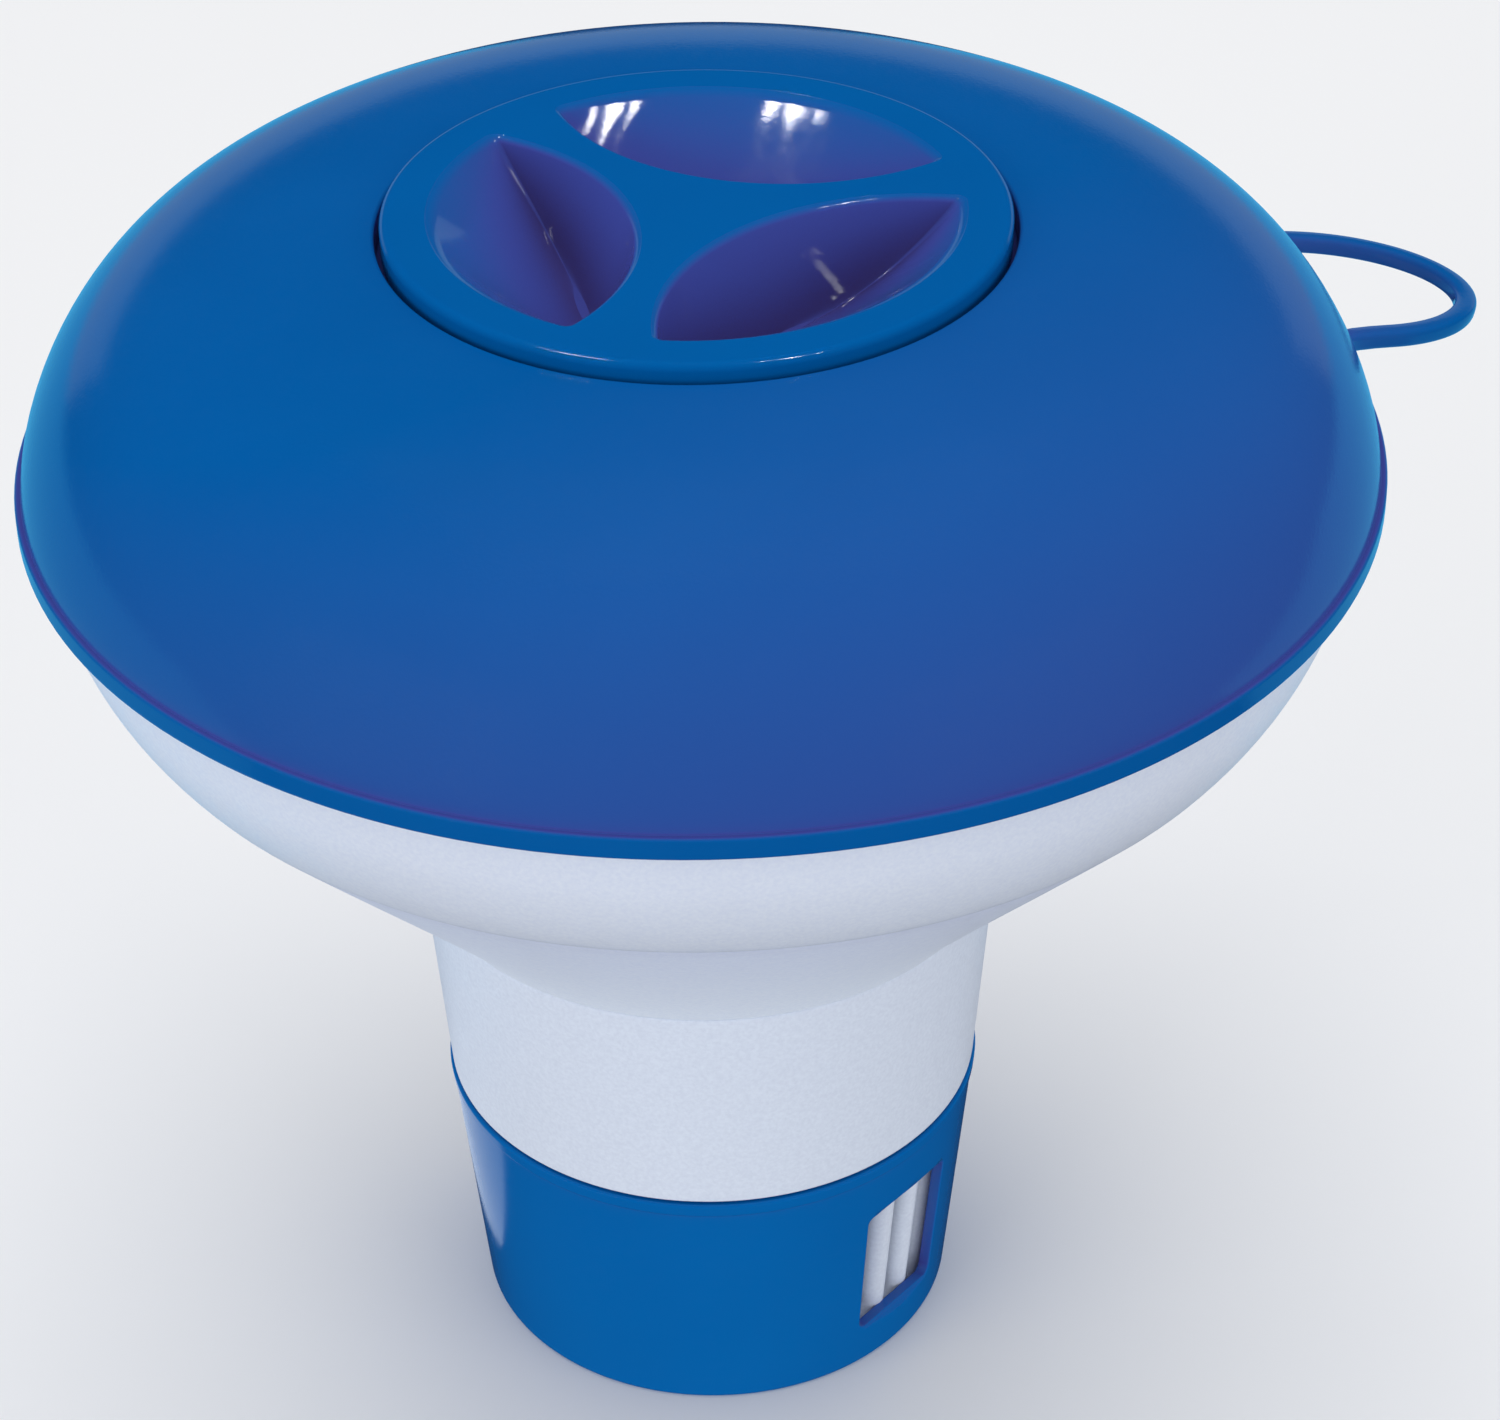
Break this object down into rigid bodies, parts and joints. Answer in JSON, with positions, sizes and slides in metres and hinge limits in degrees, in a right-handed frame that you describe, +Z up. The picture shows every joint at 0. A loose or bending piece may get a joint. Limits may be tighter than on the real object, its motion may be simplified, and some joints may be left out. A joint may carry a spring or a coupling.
{
  "type": "floating chlorine dispenser",
  "caption": "Floating pool chlorine dispenser: a disc-shaped float on a slotted tablet chamber, with a twist-lock cap, a turning dose cup with windows and a tether loop.",
  "frame": {"origin": "centre of the control ring's flat underside, which the dispenser stands on", "axes": "+Z up along the chamber's axis. +X is the side that the tether loop leans towards, 26 degrees round from it, and -Y is the side with the open window"},
  "size_m": [0.1416, 0.1268, 0.1237],
  "materials": {
    "blue_plastic": "glossy, lightly grained moulding",
    "white_plastic": "satin white with a cool cast",
    "seal_rubber": "matt"
  },
  "bodies": {
    "float": {"dome_shell": "blue_plastic", "bowl_shell": "white_plastic", "chamber_tube": "white_plastic"},
    "seal": {"cap_seal": "seal_rubber"},
    "cap": {"cap": "blue_plastic"},
    "control_ring": {"control_ring": "blue_plastic"}
  },
  "joints": [
    {"name": "cap_lift", "type": "slide", "parent": "float", "child": "seal", "axis": [0, 0, 1], "range_m": [0, 0.06]},
    {"name": "cap_turn", "type": "hinge", "parent": "seal", "child": "cap", "pos_m": [0, 0, 0.1206], "axis": [0, 0, 1], "range_deg": [-60, 0]},
    {"name": "ring_turn", "type": "hinge", "parent": "float", "child": "control_ring", "pos_m": [0, 0, 0], "axis": [0, 0, 1], "range_deg": [0, 90]}
  ]
}
